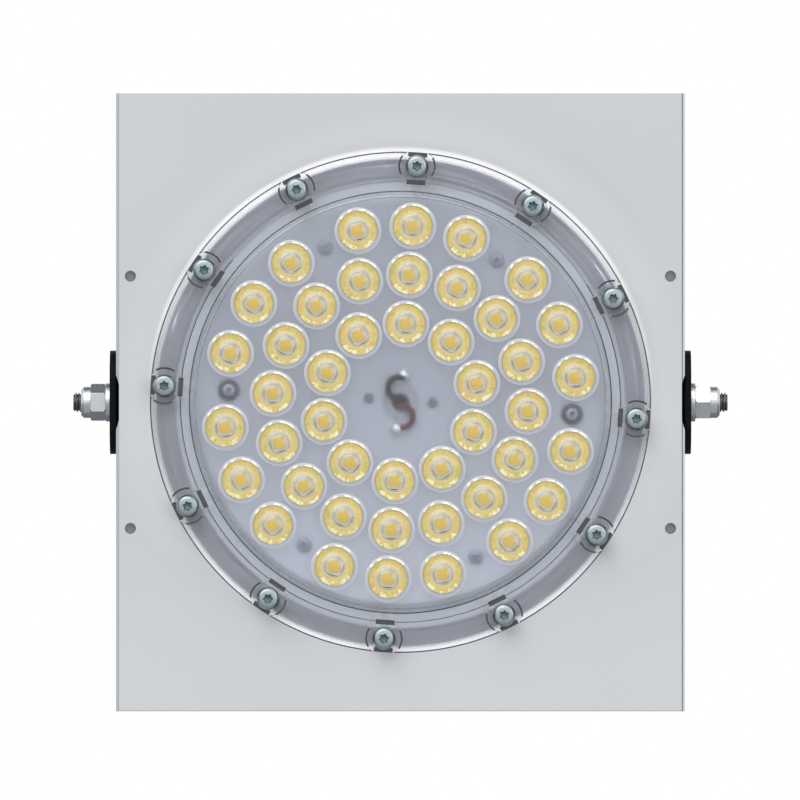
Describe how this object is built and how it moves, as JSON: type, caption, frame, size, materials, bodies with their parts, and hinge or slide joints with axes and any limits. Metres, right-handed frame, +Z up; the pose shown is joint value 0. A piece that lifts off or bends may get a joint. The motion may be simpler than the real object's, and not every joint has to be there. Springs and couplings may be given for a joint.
{
  "type": "led flood light",
  "caption": "Flat-faced LED flood light with a round screwed lens cover, finned back, driver case and a tilting U-shaped yoke.",
  "frame": {"origin": "midway between the yoke's two outer mounting holes, in the middle hole, on the yoke's outer rear face that lies on the wall", "axes": "+X to the right as the light face is seen, along the tilt axis; +Y out of the yoke's rear face, into the wall; +Z up. The light face looks along -Y."},
  "size_m": [0.2654, 0.1688, 0.25],
  "materials": {
    "grey_paint": "satin light grey powder coat on aluminium",
    "clear_plastic": "clear, frosted underneath",
    "grey_rubber": "matt",
    "dark_rubber": "matt",
    "thermal_foil": "matt",
    "white_mask": "white solder mask on aluminium",
    "white_ceramic": "matt",
    "yellow_phosphor": "matt",
    "zinc_steel": "bright zinc",
    "dark_steel": "dull",
    "solder": "bright",
    "black_paint": "satin powder coat",
    "black_nylon": "moulded",
    "clear_nylon": "moulded",
    "black_insulation": "smooth",
    "red_insulation": "smooth",
    "green_board": "glass-fibre board",
    "winding_tape": "tape",
    "copper_wire": "varnished",
    "capacitor_sleeve": "shrink sleeve",
    "green_nylon": "moulded"
  },
  "bodies": {
    "yoke": {"yoke": "black_paint"},
    "lamp_head": {"heat_sink": "grey_paint", "side_plates": "grey_paint", "side_plate_screws": "zinc_steel", "thermal_pad": "thermal_foil", "light_board": "white_mask", "emitter_packages": "white_ceramic", "emitter_phosphors": "yellow_phosphor", "board_screws": "zinc_steel", "board_washers": "dark_rubber", "board_pins": "dark_steel", "solder_joints": "solder", "black_lead": "black_insulation", "red_lead": "red_insulation", "lead_grommet": "grey_rubber", "cover_gasket": "grey_rubber", "lens_cover": "clear_plastic", "cover_screw_set": "zinc_steel", "driver_case": "grey_paint", "case_screws": "zinc_steel", "driver_board": "green_board", "driver_board_screws": "zinc_steel", "transformer": "winding_tape", "capacitors": "capacitor_sleeve", "choke": "copper_wire", "terminal_block": "green_nylon", "lid_gasket": "dark_rubber", "case_lid": "grey_paint", "lid_screws": "zinc_steel", "gland_body": "black_nylon", "gland_locknut": "black_nylon", "gland_seal": "dark_rubber", "gland_cap": "black_nylon", "vent_plug": "black_nylon", "pivot_studs": "zinc_steel", "friction_discs": "black_nylon", "pivot_washers": "zinc_steel", "lock_nuts": "zinc_steel", "nut_inserts": "clear_nylon"}
  },
  "joints": [
    {"name": "tilt", "type": "hinge", "parent": "yoke", "child": "lamp_head", "pos_m": [0, -0.137, 0], "axis": [1, 0, 0], "range_deg": [-90, 90]}
  ]
}
